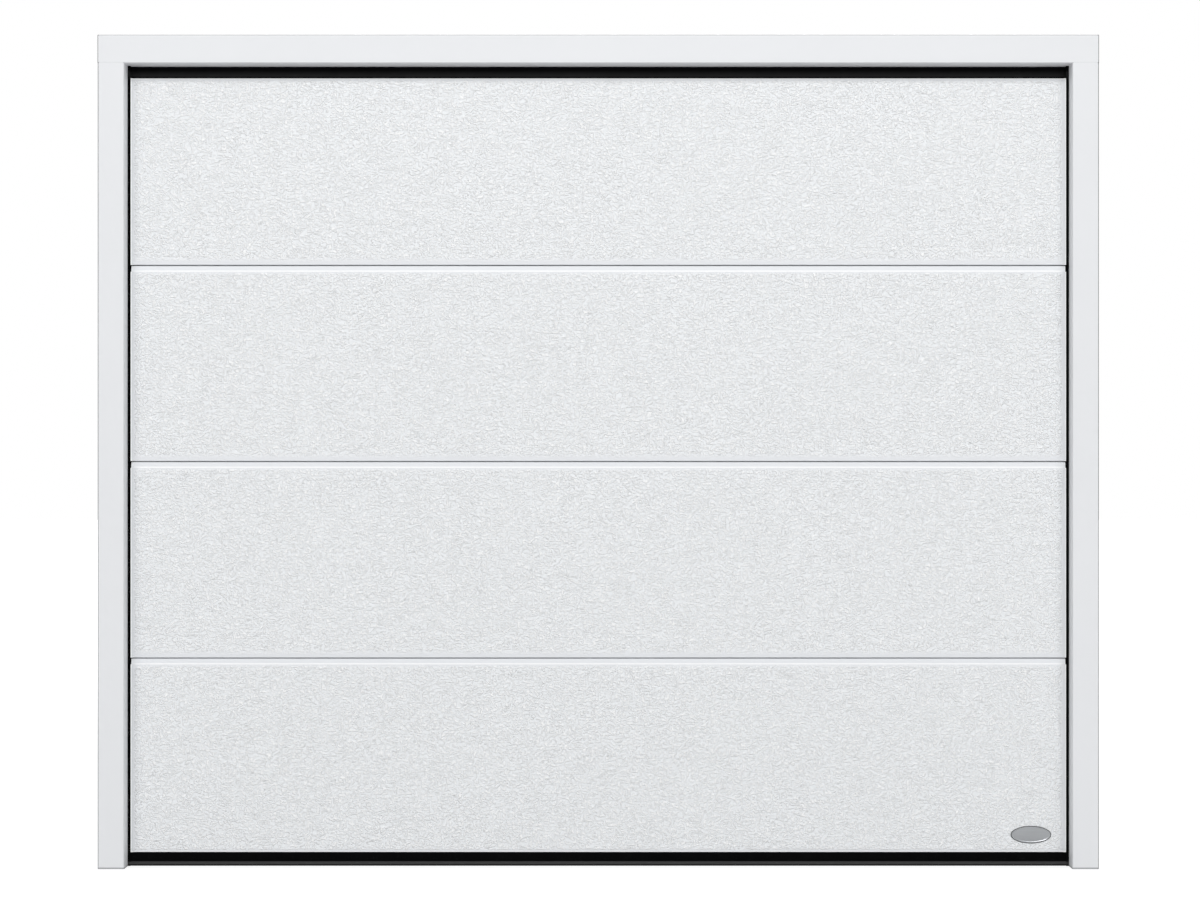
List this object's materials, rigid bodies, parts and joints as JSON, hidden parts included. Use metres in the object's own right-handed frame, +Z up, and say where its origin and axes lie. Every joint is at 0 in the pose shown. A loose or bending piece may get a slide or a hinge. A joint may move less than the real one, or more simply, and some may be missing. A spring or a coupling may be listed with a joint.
{
  "type": "sectional garage door",
  "caption": "White sectional garage door, shut, in its box-tube frame, with finger-safe section joints, rollers in curved double tracks, lifting cables and a rear torsion shaft.",
  "frame": {"origin": "middle of the lintel's flat top face, half way through the frame's depth", "axes": "+X to the right seen from outside, +Y from outside into the garage, +Z up"},
  "size_m": [2.73, 2.5875, 2.35],
  "materials": {
    "frame_steel": "white polyester powder coat on galvanised steel, smooth and satin",
    "leaf_steel": "white coil-coated steel skin, embossed with short strokes like wood grain",
    "seal_rubber": "black EPDM rubber, extruded, matt",
    "rail_aluminium": "mill-finish aluminium, extruded",
    "galvanised_steel": "hot-dip galvanised steel sheet, rolled and pressed, dull",
    "plated_steel": "zinc-plated turned steel, satin",
    "roller_nylon": "off-white nylon, moulded",
    "spring_steel": "oiled dark spring steel wire, close wound",
    "cable_steel": "galvanised stranded steel cable",
    "cast_aluminium": "cast aluminium, shot blasted"
  },
  "bodies": {
    "root": {"left_jamb": "frame_steel", "right_jamb": "frame_steel", "lintel": "frame_steel", "bottom_section": "leaf_steel", "lower_middle_section": "leaf_steel", "upper_middle_section": "leaf_steel", "top_section": "leaf_steel", "left_end_caps": "leaf_steel", "right_end_caps": "leaf_steel", "left_side_seal": "seal_rubber", "right_side_seal": "seal_rubber", "top_seal": "seal_rubber", "bottom_seal": "seal_rubber", "bottom_rail": "rail_aluminium", "hinge_lower_leaves": "galvanised_steel", "hinge_upper_leaves": "galvanised_steel", "hinge_pins": "plated_steel", "roller_carriers": "galvanised_steel", "bottom_brackets": "galvanised_steel", "top_brackets": "galvanised_steel", "rollers": "roller_nylon", "roller_axles": "plated_steel", "left_vertical_track": "galvanised_steel", "right_vertical_track": "galvanised_steel", "left_curved_track": "galvanised_steel", "right_curved_track": "galvanised_steel", "left_lower_rail": "galvanised_steel", "right_lower_rail": "galvanised_steel", "left_upper_rail": "galvanised_steel", "right_upper_rail": "galvanised_steel", "track_brackets": "galvanised_steel", "left_flag_plate": "galvanised_steel", "right_flag_plate": "galvanised_steel", "left_rear_plate": "galvanised_steel", "right_rear_plate": "galvanised_steel", "middle_hangers": "galvanised_steel", "rear_hangers": "galvanised_steel", "rear_crossbar": "galvanised_steel", "centre_bearing_bracket": "galvanised_steel", "torsion_shaft": "plated_steel", "torsion_springs": "spring_steel", "spring_cones": "cast_aluminium", "cable_drums": "cast_aluminium", "left_cable": "cable_steel", "right_cable": "cable_steel", "cable_pulleys": "roller_nylon"}
  },
  "joints": []
}
